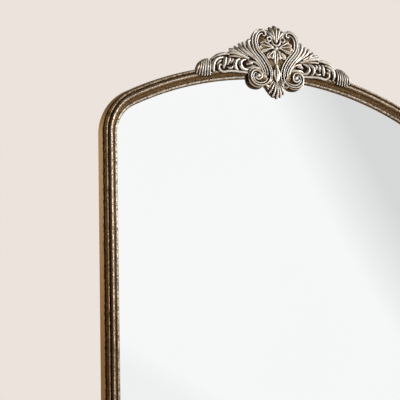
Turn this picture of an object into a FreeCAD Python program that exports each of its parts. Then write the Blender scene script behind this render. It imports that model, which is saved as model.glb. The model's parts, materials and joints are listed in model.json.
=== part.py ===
"""Arched wall mirror with a carved crest: gilded frame, glass, back board, hanging hardware.

Millimetres. X runs to the viewer's right, Z up, and the front faces -Y. The origin lies on the
wall plane, on the centreline, at the height where the wall hooks carry the two D-rings.
Depths called "level" are measured forward from the back of the frame, and distances called
"inset" are measured inward from the frame's outer edge.
"""

import FreeCAD, Part
import math
import os

from FreeCAD import Vector

# Frame outline
FRAME_WIDTH = 760.0
FRAME_HEIGHT = 1000.0          # outer edge of the bottom rail to the outer top of the arch
CROWN_RADIUS = 705.0           # outer edge of the shallow arch
SHOULDER_RADIUS = 105.0        # outer edge of the two upper corners
CORNER_RADIUS = 60.0           # outer edge of the two lower corners
HANG_DROP = 250.0              # outer top of the arch down to the wall hooks

# Moulding section
MOULDING_WIDTH = 34.5
MOULDING_DEPTH = 35.0          # back of the frame to the top of the crown bead
SIDE_FOOT = 3.0                # upright part of the side, next to the back
SIDE_HEIGHT = 20.6
SIDE_RAKE = 3.6                # how far the side leans inwards at its top
OUTER_BEAD_INSET = 8.8
OUTER_BEAD_RADIUS = 2.6
OUTER_BEAD_TOP = 33.0
OUTER_COVE_SAG = 1.2
CROWN_BEAD_INSET = 17.3
CROWN_BEAD_RADIUS = 4.5
INNER_COVE_SAG = 2.6
SIGHT_BEAD_RADIUS = 4.1
SIGHT_BEAD_TOP = 21.1
REBATE_INSET = 27.0
REBATE_DEPTH = 16.0

# Frame joints
DOWEL_RADIUS = 3.0
DOWEL_LENGTH = 30.0
DOWEL_INSETS = (8.0, 19.0)
DOWEL_LEVEL = 13.0
DOWEL_CLEARANCE = 0.05
DOWEL_END_GAP = 0.5

# Glass and its backing
GLASS_THICKNESS = 5.0
GLASS_CLEARANCE = 2.0          # edge of the glass to the rebate wall
BLOCK_LENGTH = 40.0
BLOCK_SPREAD = 420.0           # centre to centre of the two setting blocks
FOAM_THICKNESS = 5.0
FOAM_CLEARANCE = 3.0
BOARD_CLEARANCE = 1.0

# Turn buttons that hold the back board
BUTTON_INSET = 15.0
BUTTON_REACH = 23.0
BUTTON_WIDTH = 11.0
BUTTON_THICKNESS = 1.2
BUTTON_BORE = 2.0              # radius
BUTTON_PLAY = 0.2              # under the button, and between it and the screw head
BUTTON_CROWN_SPREAD = 310.0    # between the two buttons on the arch
BUTTON_HANGER_DROP = 57.0      # end of the hanger strap down to the upper button's pivot
BUTTON_CORNER_RISE = 170.0     # lower corner's joint up to the lower button's pivot
BUTTON_RAIL_SPREAD = 380.0

# D-ring hangers
RING_WIRE = 1.5                # radius
RING_HALF_WIDTH = 11.5
RING_BEND = 3.0
RING_LEG = 4.0
HANGER_INSET = 13.5
STRAP_WIDTH = 14.0
STRAP_SHEET = 1.0
STRAP_LENGTH = 36.0
STRAP_PLAY = 0.3               # between the ring's bar and the strap's eye
STRAP_SCREW_DROPS = (10.0, 28.0)

# Wall bumpers
BUMPER_RADIUS = 9.0
BUMPER_INSET = 13.5
BUMPER_RISE = 30.0             # above the lower corner's joint
BUMPER_CHAMFER = 1.2

# Screws
SCREW_SHANK = 1.7              # radius
SCREW_HEAD = 3.5               # radius
SCREW_HEAD_HEIGHT = 1.8
SCREW_SLOT = 0.8
SCREW_PILOT_PLAY = 0.05
SCREW_TIP = 3.0
SHORT_SCREW = 16.0             # under the head

# Crest block and its steel straps
BLOCK_HALF_WIDTH = 34.0
BLOCK_RISE = 48.0              # above the outer top of the arch
BLOCK_TOP_ROUND = 14.0
CREST_STRAP_SPREAD = 40.0
CREST_STRAP_WIDTH = 12.0
CREST_STRAP_LENGTH = 52.0
CREST_STRAP_SHEET = 2.0
CREST_STRAP_HOLES = (8.0, 20.0)   # either side of the joint between the block and the arch
CARTOUCHE_SCREW_SPREAD = 36.0
CARTOUCHE_SCREW_RISE = 38.0
WING_SCREW_INSET = 12.5
WING_SCREWS_ACROSS = (78.0, 126.0)

# Crest castings. Points are (across, up) from the top of the sight edge on the centreline.
CREST_BACK = 28.0              # level of the back of the castings
CARTOUCHE_GROUND = 45.0
SCROLL_TUBE = 3.6              # radius of the scroll bands
SCROLL_LEVEL = 50.0
CURL_END = (29.0, 84.0)        # where each band starts, beside the palmette
CURL_RADII = (5.0, 8.0)
HEART_RADIUS = 22.2
HEART_TURN = 125.0             # degrees round the heart
BAND_RUN = 56.0
WAIST_RADIUS = 30.0
VOLUTE_FOOT = 8.0              # short run under the volute
VOLUTE_RADII = (19.0, 18.0, 13.5, 11.0, 8.5, 7.0)
VOLUTE_EYE = 5.5
CUP_CENTRE = (0.0, 73.0)
CUP_RADIUS = 8.0
CUP_TUBE = 2.4
FLOWER_CENTRE = (0.0, 61.0)
FLOWER_EYE = 5.5
PALMETTE_LEVEL = 48.0
PETAL_LEVEL = 47.0
LEAF_LEVEL = 41.0              # level of the shell's ribs below the long leaf
CARTOUCHE_FOOT = -36.0         # lowest point of the cartouche's ground
CARTOUCHE_HEAD = 92.0
FROND_GROUND = 42.0
FROND_LEVEL = 45.0             # level of the side fronds' ribs
WING_GROUND = 38.0
WING_LEVEL = 40.5              # level of the wing's ribs
WING_REACH = 172.0             # across, at the wing's tip
WING_INNER = 50.0              # across, where the wing starts beside the volute
WING_INSET = 20.0
WING_TOP = 44.0                # height of the wing's ground beside the fronds
WING_BULGE = 12.0
END_RIBS = 7
END_RIB_SWELL = 3.6
CASTING_GAP = 0.3              # between the cartouche and each wing
SCREW_COVER = 3.0              # casting left in front of a screw's tip

LEFT = -1.0
RIGHT = 1.0
SIDES = (("left", LEFT), ("right", RIGHT))
FORWARD = Vector(0, -1, 0)

# Places worked out from the sizes above
RING_EYE = RING_WIRE + STRAP_PLAY
STANDOFF = 2 * (RING_EYE + STRAP_SHEET)      # wall to the back of the frame
HALF_WIDTH = FRAME_WIDTH / 2
TOP = HANG_DROP
BOTTOM = TOP - FRAME_HEIGHT
SIGHT_TOP = TOP - MOULDING_WIDTH
CROWN_CENTRE = (0.0, TOP - CROWN_RADIUS)
SHOULDER_ACROSS = HALF_WIDTH - SHOULDER_RADIUS
SHOULDER_UP = CROWN_CENTRE[1] + math.sqrt((CROWN_RADIUS - SHOULDER_RADIUS) ** 2 - SHOULDER_ACROSS ** 2)
CORNER_ACROSS = HALF_WIDTH - CORNER_RADIUS
CORNER_UP = BOTTOM + CORNER_RADIUS
CROWN_ANGLE = math.degrees(math.atan2(SHOULDER_ACROSS, SHOULDER_UP - CROWN_CENTRE[1]))
GLASS_BACK = REBATE_DEPTH - GLASS_THICKNESS
FOAM_BACK = GLASS_BACK - FOAM_THICKNESS
RING_RISE = RING_BEND + RING_LEG + RING_HALF_WIDTH   # bar's centreline to the top of the ring's
BAR_UP = RING_WIRE - RING_RISE
BUTTON_STILE_HEIGHTS = (BAR_UP - STRAP_LENGTH - BUTTON_HANGER_DROP, CORNER_UP + BUTTON_CORNER_RISE)
HANGER_ACROSS = HALF_WIDTH - HANGER_INSET


def place(across, level, up):
    """A point from its distance across, its level and its height."""
    return Vector(across, -(STANDOFF + level), up)


def crest_point(across, up, level=0.0):
    """A point of the crest, whose heights start at the top of the sight edge."""
    return place(across, level, SIGHT_TOP + up)


def on_arch(across, rise):
    """A crest point from its height above the arch's sight edge at that distance across."""
    radius = CROWN_RADIUS - MOULDING_WIDTH
    return (across, rise - radius + math.sqrt(radius ** 2 - across ** 2))


def outward(angle):
    """Unit vector in the frame's plane, in degrees from straight up towards +X."""
    turn = math.radians(angle)
    return Vector(math.sin(turn), 0, math.cos(turn))


def crown_angle(across, inset):
    """Angle from straight up, in degrees, of a point of the arch at an inset from its outer edge."""
    return math.degrees(math.asin(across / (CROWN_RADIUS - inset)))


def extruded(edges, depth):
    """A solid from a closed loop of edges, carried forward by a depth."""
    return Part.Face(Part.Wire(Part.__sortEdges__(edges))).extrude(FORWARD * depth)


def line(start, end):
    return Part.LineSegment(start, end).toShape()


def arc(start, middle, end):
    return Part.Arc(start, middle, end).toShape()


def fused(solids):
    """One solid from several that overlap."""
    return solids[0].fuse(solids[1:]).removeSplitter()


def mirrored(shape):
    return shape.mirror(Vector(0, 0, 0), Vector(1, 0, 0))


def on_circle(centre, radius, angle):
    turn = math.radians(angle)
    return (centre[0] + radius * math.cos(turn), centre[1] + radius * math.sin(turn))


def sagged(start, end, sag):
    """Middle point of an arc between two section points, bowed back by sag."""
    run = (end[0] - start[0], end[1] - start[1])
    length = math.hypot(*run)
    return ((start[0] + end[0]) / 2 + sag * run[1] / length, (start[1] + end[1]) / 2 - sag * run[0] / length)


def moulding_section():
    """Runs of the moulding's section as (inset, level) points: two points a line, three an arc."""
    side_foot = (0.0, SIDE_FOOT)
    side_top = (SIDE_RAKE, SIDE_HEIGHT)
    bead_centre = (OUTER_BEAD_INSET, OUTER_BEAD_TOP - OUTER_BEAD_RADIUS)
    bead = [on_circle(bead_centre, OUTER_BEAD_RADIUS, angle) for angle in (195, 90, -15)]
    crown_centre = (CROWN_BEAD_INSET, MOULDING_DEPTH - CROWN_BEAD_RADIUS)
    crown = [on_circle(crown_centre, CROWN_BEAD_RADIUS, angle) for angle in (200, 90, 18)]
    sight_centre = (MOULDING_WIDTH - SIGHT_BEAD_RADIUS, SIGHT_BEAD_TOP - SIGHT_BEAD_RADIUS)
    sight = [on_circle(sight_centre, SIGHT_BEAD_RADIUS, angle) for angle in (145, 70, 0)]
    return [
        [(0.0, 0.0), side_foot],
        [side_foot, side_top],
        [side_top, sagged(side_top, bead[0], OUTER_COVE_SAG), bead[0]],
        bead,
        [bead[2], crown[0]],
        crown,
        [crown[2], sagged(crown[2], sight[0], INNER_COVE_SAG), sight[0]],
        sight,
        [sight[2], (MOULDING_WIDTH, REBATE_DEPTH)],
        [(MOULDING_WIDTH, REBATE_DEPTH), (REBATE_INSET, REBATE_DEPTH)],
        [(REBATE_INSET, REBATE_DEPTH), (REBATE_INSET, 0.0)],
        [(REBATE_INSET, 0.0), (0.0, 0.0)],
    ]


def section_face(edge_point, inward):
    """The moulding's section, standing at a point of the frame's outer edge."""
    edges = []
    for run in moulding_section():
        points = [edge_point + inward * inset + FORWARD * level for inset, level in run]
        edges.append(line(*points) if len(points) == 2 else arc(*points))
    return Part.Face(Part.Wire(edges))


def curved_rail(centre, radius, start_angle, end_angle):
    """A length of moulding bent round a centre, between two angles from straight up."""
    axis_point = place(centre[0], 0, centre[1])
    out = outward(start_angle)
    face = section_face(axis_point + out * radius, out * -1)
    return face.revolve(axis_point, Vector(0, 1, 0), end_angle - start_angle)


def straight_rail(start, end, inward):
    """A straight length of moulding along its outer edge."""
    return section_face(start, inward).extrude(end - start)


def frame_rails():
    """The eight lengths of moulding, each a separate solid."""
    rails = {"head_rail": curved_rail(CROWN_CENTRE, CROWN_RADIUS, -CROWN_ANGLE, CROWN_ANGLE)}
    for side, sign in SIDES:
        shoulder = (sign * SHOULDER_ACROSS, SHOULDER_UP)
        corner = (sign * CORNER_ACROSS, CORNER_UP)
        rails[side + "_shoulder"] = curved_rail(shoulder, SHOULDER_RADIUS, sign * CROWN_ANGLE, sign * 90)
        rails[side + "_lower_corner"] = curved_rail(corner, CORNER_RADIUS, sign * 90, sign * 180)
        stile_foot = place(sign * HALF_WIDTH, 0, CORNER_UP)
        stile_head = place(sign * HALF_WIDTH, 0, SHOULDER_UP)
        rails[side + "_stile"] = straight_rail(stile_foot, stile_head, Vector(-sign, 0, 0))
    rails["bottom_rail"] = straight_rail(
        place(-CORNER_ACROSS, 0, BOTTOM), place(CORNER_ACROSS, 0, BOTTOM), Vector(0, 0, 1)
    )
    return rails


def frame_joints():
    """Each butt joint of the frame: the two rails, the point on the outer edge, inward and along."""
    joints = []
    for side, sign in SIDES:
        crown_out = outward(sign * CROWN_ANGLE)
        crown_edge = place(CROWN_CENTRE[0], 0, CROWN_CENTRE[1]) + crown_out * CROWN_RADIUS
        across = Vector(-sign, 0, 0)
        up = Vector(0, 0, 1)
        joints += [
            ("head_rail", side + "_shoulder", crown_edge, crown_out * -1, outward(sign * CROWN_ANGLE + 90)),
            (side + "_shoulder", side + "_stile", place(sign * HALF_WIDTH, 0, SHOULDER_UP), across, up),
            (side + "_stile", side + "_lower_corner", place(sign * HALF_WIDTH, 0, CORNER_UP), across, up),
            (side + "_lower_corner", "bottom_rail", place(sign * CORNER_ACROSS, 0, BOTTOM), up, across),
        ]
    return joints


def rod(middle, along, radius, length):
    """A cylinder centred on a point."""
    return Part.makeCylinder(radius, length, middle - along * (length / 2), along)


def add_dowels(rails):
    """Drills every joint for its dowels and returns the dowels."""
    dowels = []
    for first, second, edge_point, inward, along in frame_joints():
        for inset in DOWEL_INSETS:
            middle = edge_point + inward * inset + FORWARD * DOWEL_LEVEL
            dowels.append(rod(middle, along, DOWEL_RADIUS, DOWEL_LENGTH))
            bore = rod(middle, along, DOWEL_RADIUS + DOWEL_CLEARANCE, DOWEL_LENGTH + 2 * DOWEL_END_GAP)
            for name in (first, second):
                rails[name] = rails[name].cut(bore)
    return dowels


def inner_outline(inset, level):
    """Closed loop of edges that follows the frame's outline, an inset in from its outer edge."""
    def edge_at(centre, radius, angle):
        return place(centre[0], level, centre[1]) + outward(angle) * (radius - inset)

    right_shoulder = (SHOULDER_ACROSS, SHOULDER_UP)
    right_corner = (CORNER_ACROSS, CORNER_UP)
    bends = [
        (CROWN_CENTRE, CROWN_RADIUS, -CROWN_ANGLE, CROWN_ANGLE),
        (right_shoulder, SHOULDER_RADIUS, CROWN_ANGLE, 90),
        (right_corner, CORNER_RADIUS, 90, 180),
        ((-CORNER_ACROSS, CORNER_UP), CORNER_RADIUS, 180, 270),
        ((-SHOULDER_ACROSS, SHOULDER_UP), SHOULDER_RADIUS, 270, 360 - CROWN_ANGLE),
    ]
    edges = []
    for centre, radius, start, end in bends:
        points = [edge_at(centre, radius, angle) for angle in (start, (start + end) / 2, end)]
        edges.append(arc(*points))
    ends = [(1, 90, 2, 90), (2, 180, 3, 180), (3, 270, 4, 270)]
    for before, before_angle, after, after_angle in ends:
        start = edge_at(bends[before][0], bends[before][1], before_angle)
        edges.append(line(start, edge_at(bends[after][0], bends[after][1], after_angle)))
    return edges


def panel(inset, back_level, thickness):
    """A flat sheet of the frame's shape."""
    return extruded(inner_outline(inset, back_level), thickness)


def setting_blocks():
    """Two blocks under the lower edge of the glass."""
    rebate_floor = BOTTOM + REBATE_INSET
    return [
        Part.makeBox(
            BLOCK_LENGTH, GLASS_THICKNESS, GLASS_CLEARANCE,
            place(sign * BLOCK_SPREAD / 2 - BLOCK_LENGTH / 2, REBATE_DEPTH, rebate_floor),
        )
        for _, sign in SIDES
    ]


def rim(solid, seat):
    """The edges of a solid that lie clear behind its seat."""
    return [edge for edge in solid.Edges if edge.BoundBox.YMin > seat.y]


def screw(across, up, seat_level, length):
    """A pan-head screw driven forward from a seat, with a slot in its head."""
    seat = place(across, seat_level, up)
    shank = Part.makeCylinder(SCREW_SHANK, length - SCREW_TIP, seat, FORWARD)
    tip_start = seat + FORWARD * (length - SCREW_TIP)
    tip = Part.makeCone(SCREW_SHANK, SCREW_SHANK / 4, SCREW_TIP, tip_start, FORWARD)
    head = Part.makeCylinder(SCREW_HEAD, SCREW_HEAD_HEIGHT, seat, FORWARD * -1)
    head = head.makeFillet(SCREW_HEAD_HEIGHT / 2, rim(head, seat))
    slot = Part.makeBox(
        2 * SCREW_HEAD, SCREW_HEAD_HEIGHT, SCREW_SLOT,
        Vector(across - SCREW_HEAD, seat.y + SCREW_HEAD_HEIGHT / 2, up - SCREW_SLOT / 2),
    )
    return shank.fuse([tip, head]).removeSplitter().cut(slot)


def pilot(across, up, seat_level, length, back_level):
    """The hole for a screw, from a back level to just past its tip."""
    play = SCREW_PILOT_PLAY
    start = place(across, back_level, up)
    depth = length + seat_level - back_level + play
    return Part.makeCylinder(SCREW_SHANK + play, depth, start, FORWARD)


def button_places():
    """Each turn button: its name, the rail it is on, its pivot and the way it points."""
    places = []
    for side, sign in SIDES:
        out = outward(crown_angle(sign * BUTTON_CROWN_SPREAD / 2, BUTTON_INSET))
        pivot = place(CROWN_CENTRE[0], 0, CROWN_CENTRE[1]) + out * (CROWN_RADIUS - BUTTON_INSET)
        places.append(("turn_button_top_" + side, "head_rail", pivot, out * -1))
        for height_name, up in zip(("upper", "lower"), BUTTON_STILE_HEIGHTS):
            pivot = place(sign * (HALF_WIDTH - BUTTON_INSET), 0, up)
            places.append((f"turn_button_{side}_{height_name}", side + "_stile", pivot, Vector(-sign, 0, 0)))
        pivot = place(sign * BUTTON_RAIL_SPREAD / 2, 0, BOTTOM + BUTTON_INSET)
        places.append(("turn_button_bottom_" + side, "bottom_rail", pivot, Vector(0, 0, 1)))
    return places


def turn_button(pivot, points):
    """A flat steel button, round at both ends, bored for its screw."""
    half = BUTTON_WIDTH / 2
    back = pivot - FORWARD * (BUTTON_PLAY + BUTTON_THICKNESS)
    side = points.cross(FORWARD)
    far = back + points * (BUTTON_REACH - half)
    edges = [
        arc(back + side * half, back - points * half, back - side * half),
        line(back - side * half, far - side * half),
        arc(far - side * half, far + points * half, far + side * half),
        line(far + side * half, back + side * half),
    ]
    return extruded(edges, BUTTON_THICKNESS).cut(
        Part.makeCylinder(BUTTON_BORE, BUTTON_THICKNESS, back, FORWARD)
    )


def d_ring(sign):
    """A D-shaped ring of round wire, its straight bar lying in the strap's eye."""
    level = -STANDOFF / 2
    centre = sign * HANGER_ACROSS

    def ring_point(across, up):
        return place(centre + across, level, BAR_UP + up)

    def bend(end, turn):
        across = end * (RING_HALF_WIDTH - RING_BEND)
        slant = RING_BEND * math.sqrt(0.5)
        points = [ring_point(across, 0), ring_point(across + end * slant, RING_BEND - slant),
                  ring_point(end * RING_HALF_WIDTH, RING_BEND)]
        return arc(*points[::turn])

    shoulder = RING_BEND + RING_LEG
    wide = RING_HALF_WIDTH
    bar_half = RING_HALF_WIDTH - RING_BEND
    start = ring_point(0, 0)
    path = Part.Wire([
        line(start, ring_point(bar_half, 0)),
        bend(1, 1),
        line(ring_point(wide, RING_BEND), ring_point(wide, shoulder)),
        arc(ring_point(wide, shoulder), ring_point(0, shoulder + wide), ring_point(-wide, shoulder)),
        line(ring_point(-wide, shoulder), ring_point(-wide, RING_BEND)),
        bend(-1, -1),
        line(ring_point(-bar_half, 0), start),
    ])
    section = Part.makeCircle(RING_WIRE, start, Vector(1, 0, 0))
    return path.makePipeShell([Part.Wire(section)], True, False)


def hanger_strap(sign):
    """A folded strap: a flat tail screwed to the stile and an eye round the ring's bar."""
    centre = sign * HANGER_ACROSS
    half = STRAP_WIDTH / 2
    outer = RING_EYE + STRAP_SHEET
    tail_back = -2 * STRAP_SHEET
    axis_point = place(centre - half, -outer, BAR_UP)
    eye = Part.makeCylinder(outer, STRAP_WIDTH, axis_point, Vector(1, 0, 0))
    end_up = BAR_UP - STRAP_LENGTH + half
    back = [place(centre + across, tail_back, up) for across, up in
            ((half, BAR_UP), (half, end_up), (0, end_up - half), (-half, end_up), (-half, BAR_UP))]
    tail_edges = [line(back[0], back[1]), arc(*back[1:4]), line(back[3], back[4]), line(back[4], back[0])]
    tail = extruded(tail_edges, -tail_back)
    bore = Part.makeCylinder(RING_EYE, STRAP_WIDTH, axis_point, Vector(1, 0, 0))
    strap = eye.fuse(tail).removeSplitter().cut(bore)
    for drop in STRAP_SCREW_DROPS:
        strap = strap.cut(pilot(centre, BAR_UP - drop, tail_back, SHORT_SCREW, tail_back))
    return strap


def wall_bumper(sign):
    """A soft disc that keeps the lower edge as far from the wall as the hangers do."""
    seat = place(sign * (HALF_WIDTH - BUMPER_INSET), 0, CORNER_UP + BUMPER_RISE)
    disc = Part.makeCylinder(BUMPER_RADIUS, STANDOFF, seat, FORWARD * -1)
    return disc.makeChamfer(BUMPER_CHAMFER, rim(disc, seat))


def crest_block(head_rail):
    """The timber block that backs the cartouche, its foot cut to sit on the arch's raked side."""
    half = BLOCK_HALF_WIDTH
    arch = place(CROWN_CENTRE[0], 0, CROWN_CENTRE[1])
    drop = crown_angle(half, SIDE_RAKE)
    feet = [arch + outward(angle) * (CROWN_RADIUS - SIDE_RAKE) for angle in (-drop, 0, drop)]
    left_foot, middle_foot, right_foot = feet
    top = TOP + BLOCK_RISE
    round_up = top - BLOCK_TOP_ROUND
    slant = BLOCK_TOP_ROUND * (1 - math.sqrt(0.5))
    flat = half - BLOCK_TOP_ROUND
    edges = [
        arc(left_foot, middle_foot, right_foot),
        line(right_foot, place(half, 0, round_up)),
        arc(place(half, 0, round_up), place(half - slant, 0, top - slant), place(flat, 0, top)),
        line(place(flat, 0, top), place(-flat, 0, top)),
        arc(place(-flat, 0, top), place(slant - half, 0, top - slant), place(-half, 0, round_up)),
        line(place(-half, 0, round_up), left_foot),
    ]
    return extruded(edges, CREST_BACK).cut(head_rail)


def crest_strap_heights():
    """Heights of the holes of a crest strap, from the joint below the block."""
    return [TOP + sign * drop for sign in (1, -1) for drop in CREST_STRAP_HOLES]


def crest_strap(sign):
    """A flat steel strap across the joint between the block and the arch."""
    across = sign * CREST_STRAP_SPREAD / 2
    half = CREST_STRAP_WIDTH / 2
    reach = CREST_STRAP_LENGTH / 2 - half
    back = -CREST_STRAP_SHEET

    def strap_end(way):
        up = TOP + way * reach
        tip = place(across, back, up + way * half)
        return [place(across + half, back, up), tip, place(across - half, back, up)]

    upper, lower = strap_end(1), strap_end(-1)
    edges = [arc(*upper), line(upper[2], lower[2]), arc(*lower), line(lower[0], upper[0])]
    strap = extruded(edges, CREST_STRAP_SHEET)
    for up in crest_strap_heights():
        strap = strap.cut(pilot(across, up, back, SHORT_SCREW, back))
    return strap


def disc(centre, radius, front_level):
    """A round boss from the back of the castings to a level."""
    return Part.makeCylinder(radius, front_level - CREST_BACK, crest_point(*centre, CREST_BACK), FORWARD)


def lobe(base, tip, swell, level):
    """A leaf lobe: a round spindle of cones, thickest in the middle."""
    start, end = crest_point(*base, level), crest_point(*tip, level)
    shares = ((0.0, 0.0), (0.0, 0.3), (0.2, 0.8), (0.5, 1.0), (0.8, 0.7), (1.0, 0.25), (1.0, 0.0))
    points = [start + (end - start) * along + FORWARD * (swell * out) for along, out in shares]
    return Part.Face(Part.makePolygon(points + points[:1])).revolve(start, end - start, 360)


def scroll_path(start, heading, turns):
    """Tangent arcs in the crest's plane: (radius, degrees) turns, left positive, and (length, 0) runs."""
    edges = []
    across, up = start
    for size, degrees in turns:
        ahead = math.radians(heading)
        if degrees == 0:
            end = (across + size * math.cos(ahead), up + size * math.sin(ahead))
            edges.append(line(crest_point(across, up, SCROLL_LEVEL), crest_point(*end, SCROLL_LEVEL)))
        else:
            way = math.copysign(1, degrees)
            centre = (across - way * size * math.sin(ahead), up + way * size * math.cos(ahead))
            first = heading - way * 90
            points = [on_circle(centre, size, first + share * degrees) for share in (0, 0.5, 1)]
            edges.append(arc(*(crest_point(*point, SCROLL_LEVEL) for point in points)))
            end = points[2]
            heading += degrees
        across, up = end
    return Part.Wire(edges)


def band_path():
    """Path of the right-hand scroll, from its curl round the heart and past the waist into the volute."""
    lean = HEART_TURN - 90
    turns = [(radius, -90) for radius in CURL_RADII]
    turns += [(HEART_RADIUS, -HEART_TURN), (BAND_RUN, 0), (WAIST_RADIUS, lean)]
    turns += [(VOLUTE_RADII[0], 90), (VOLUTE_FOOT, 0)]
    turns += [(radius, 90) for radius in VOLUTE_RADII[1:]]
    return scroll_path(CURL_END, 180, turns)


def plate(outline, front_level):
    """A flat plate from the back of the castings to a level."""
    points = [crest_point(*point, CREST_BACK) for point in outline]
    return Part.Face(Part.makePolygon(points + points[:1])).extrude(FORWARD * (front_level - CREST_BACK))


def scroll_band():
    section = Part.makeCircle(SCROLL_TUBE, crest_point(*CURL_END, SCROLL_LEVEL), Vector(1, 0, 0))
    return band_path().makePipeShell([Part.Wire(section)], True, False)


def volute_centre():
    """Centre of the volute's widest turn, which its eye stands on."""
    centre = band_path().Edges[7].Curve.Center
    return (centre.x, centre.z - SIGHT_TOP)


def cartouche_body(front_level, growth):
    """The right half of the cartouche's ground under its scroll band, grown sideways by a margin."""
    edges = band_path().Edges
    reach = SCROLL_TUBE + growth
    solids = []
    for index in (2, 5, 7):
        curve = edges[index].Curve
        solids.append(disc((curve.Center.x, curve.Center.z - SIGHT_TOP), curve.Radius + reach, front_level))
    run = edges[3]
    ahead = run.Vertexes[1].Point - run.Vertexes[0].Point
    ahead.normalize()
    aside = FORWARD.cross(ahead) * reach
    outer = [vertex.Point + aside for vertex in run.Vertexes]
    core = [(0.0, CARTOUCHE_HEAD), (CURL_END[0], CARTOUCHE_HEAD)]
    core += [(point.x, point.z - SIGHT_TOP) for point in outer]
    core += [(WAIST_RADIUS / 2, 0.0), (0.0, CARTOUCHE_FOOT - growth)]
    solids.append(plate(core, front_level))
    return solids


def frond_plate(front_level, growth):
    """The ground under the right-hand side fronds, grown sideways by a margin."""
    outline = [(30.0, 24.0), (55.0, 62.0 + growth), (78.0 + growth, 63.0 + growth)]
    outline += [(98.0 + growth, 53.0 + growth), (98.0 + growth, 50.0 - growth)]
    outline += [(80.0, 47.0 - growth), (60.0, 36.5 - growth), (36.0, 26.0 - growth)]
    return plate(outline, front_level)


def lobes(spans, level):
    """Leaf lobes from (base, tip, swell) spans."""
    return [lobe(base, tip, swell, level) for base, tip, swell in spans]


def palmette():
    """The right-hand leaves of the fan at the top, rising from its cup."""
    tips = [((8.5, 108.0), 4.5), ((16.5, 102.0), 4.5), ((21.0, 92.0), 4.0)]
    spans = [((tip[0] / 4, CUP_CENTRE[1]), tip, swell) for tip, swell in tips]
    return lobes(spans, PALMETTE_LEVEL)


def heart_petals():
    """Petals round the flower, on the right-hand side."""
    spans = [
        ((3.0, 62.0), (34.0, 66.0), 6.0), ((3.0, 63.0), (28.0, 79.0), 5.0),
        ((3.0, 60.0), (38.0, 55.0), 4.5), ((2.0, 59.0), (20.0, 38.0), 6.0),
    ]
    return lobes(spans, PETAL_LEVEL)


def shell_ribs():
    """The right-hand ribs of the shell at the foot."""
    spans = [
        ((2.0, 4.0), (9.0, -46.0), 5.0),
        ((4.0, 5.0), (15.5, -38.0), 5.0),
        ((6.0, 6.0), (21.0, -29.0), 5.0),
    ]
    return lobes(spans, LEAF_LEVEL)


def centre_line():
    """What stands on the centreline: top leaf, cup, flower, stem, long leaf and the shell's middle rib."""
    cup = Part.makeTorus(CUP_RADIUS, CUP_TUBE, crest_point(*CUP_CENTRE, CARTOUCHE_GROUND), FORWARD)
    flower = Part.makeSphere(FLOWER_EYE, crest_point(*FLOWER_CENTRE, PETAL_LEVEL))
    ribs = lobes([(CUP_CENTRE, (0.0, 112.0), 5.0)], PALMETTE_LEVEL)
    ribs += lobes([(FLOWER_CENTRE, (0.0, 24.0), 5.0), ((0.0, 30.0), (0.0, -16.0), 8.0)], CARTOUCHE_GROUND)
    ribs += lobes([((0.0, 6.0), (0.0, -50.0), 6.0)], LEAF_LEVEL)
    return [cup, flower] + ribs


def side_fronds():
    """Ribs of the leaf that sweeps up and out from the right-hand volute's neck."""
    spans = [
        ((46.0, 44.0), (62.0, 77.0), 5.0),
        ((46.0, 41.0), (74.5, 72.0), 5.0),
        ((48.0, 39.0), (84.0, 70.0), 5.0),
        ((50.0, 37.0), (92.0, 62.0), 4.5),
        ((54.0, 37.0), (105.0, 54.5), 4.5),
    ]
    return lobes(spans, FROND_LEVEL)


def crest_cartouche(head_rail):
    """The middle casting, its back cut to sit on the moulding."""
    half = cartouche_body(CARTOUCHE_GROUND, 0.0) + [frond_plate(FROND_GROUND, 0.0), scroll_band()]
    half.append(Part.makeSphere(VOLUTE_EYE, crest_point(*volute_centre(), SCROLL_LEVEL)))
    half += palmette() + heart_petals() + shell_ribs() + side_fronds()
    both = half + [mirrored(solid) for solid in half]
    return fused(both + centre_line()).cut(head_rail)


def wing_ground():
    """The right-hand wing's ground: it follows the arch below and rises to the cartouche."""
    arch = place(CROWN_CENTRE[0], CREST_BACK, CROWN_CENTRE[1])
    radius = CROWN_RADIUS - WING_INSET
    inner_angle = crown_angle(WING_INNER, WING_INSET)
    tip_angle = crown_angle(WING_REACH, 0)
    foot_angles = (inner_angle, (inner_angle + tip_angle) / 2, tip_angle)
    foot = [arch + outward(angle) * radius for angle in foot_angles]
    tip = arch + outward(tip_angle) * CROWN_RADIUS
    top = crest_point(WING_INNER, WING_TOP, CREST_BACK)
    ridge = (tip + top) * 0.5 + Vector(0, 0, WING_BULGE)
    edges = [arc(*foot), line(foot[2], tip), arc(tip, ridge, top), line(top, foot[0])]
    return extruded(edges, WING_GROUND - CREST_BACK)


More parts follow.
